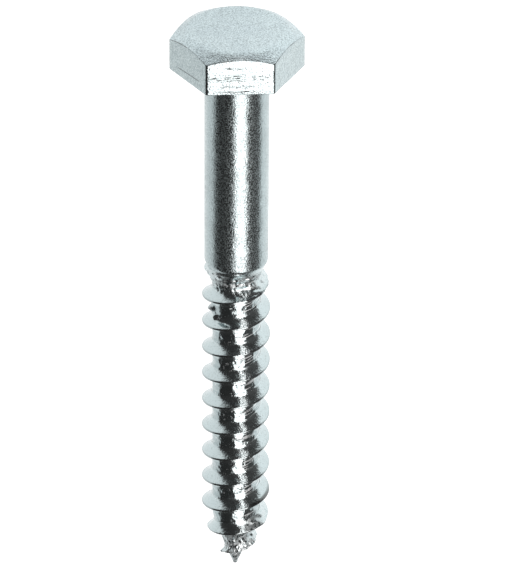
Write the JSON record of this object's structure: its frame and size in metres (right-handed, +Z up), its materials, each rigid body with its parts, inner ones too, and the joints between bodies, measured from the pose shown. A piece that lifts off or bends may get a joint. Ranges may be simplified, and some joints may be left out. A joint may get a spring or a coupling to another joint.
{
  "type": "lag screw",
  "caption": "Hexagon-head lag screw with a plain shank, a coarse right-hand wood-screw thread and a gimlet point, zinc plated, lying on its side.",
  "frame": {"origin": "on the surface that the screw lies on, under the middle of its bounding box", "axes": "+X runs from the head to the point along the table, +Z is up, +Y completes a right-handed frame; the screw's own axis lies in the XZ plane and falls 2.64 degrees towards the point"},
  "size_m": [0.0914, 0.0196, 0.0172],
  "materials": {
    "zinc": "bright zinc plate, slightly pebbled, with fine rolling lines in the root of the thread"
  },
  "bodies": {
    "root": {"lag_screw": "zinc"}
  },
  "joints": []
}
